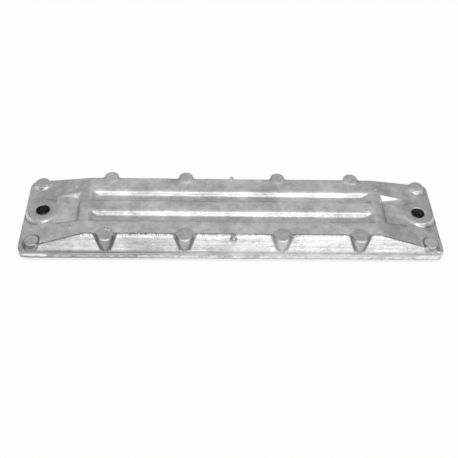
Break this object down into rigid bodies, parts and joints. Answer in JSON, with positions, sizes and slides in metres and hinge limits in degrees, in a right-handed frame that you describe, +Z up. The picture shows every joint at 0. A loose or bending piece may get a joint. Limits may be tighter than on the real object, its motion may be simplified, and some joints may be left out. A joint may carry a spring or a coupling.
{
  "type": "sacrificial anode",
  "caption": "Long flat cast metal bar with ramped ends, grooved crown and a fixing hole on a round boss at each end.",
  "frame": {"origin": "centre of the flat base, halfway along and halfway across the bar", "axes": "+X along the bar, +Y across it, +Z up from the flat base towards the crown"},
  "size_m": [0.3028, 0.068, 0.0196],
  "materials": {
    "cast_metal": "as cast, dull silver"
  },
  "bodies": {
    "root": {"anode_bar": "cast_metal"}
  },
  "joints": []
}
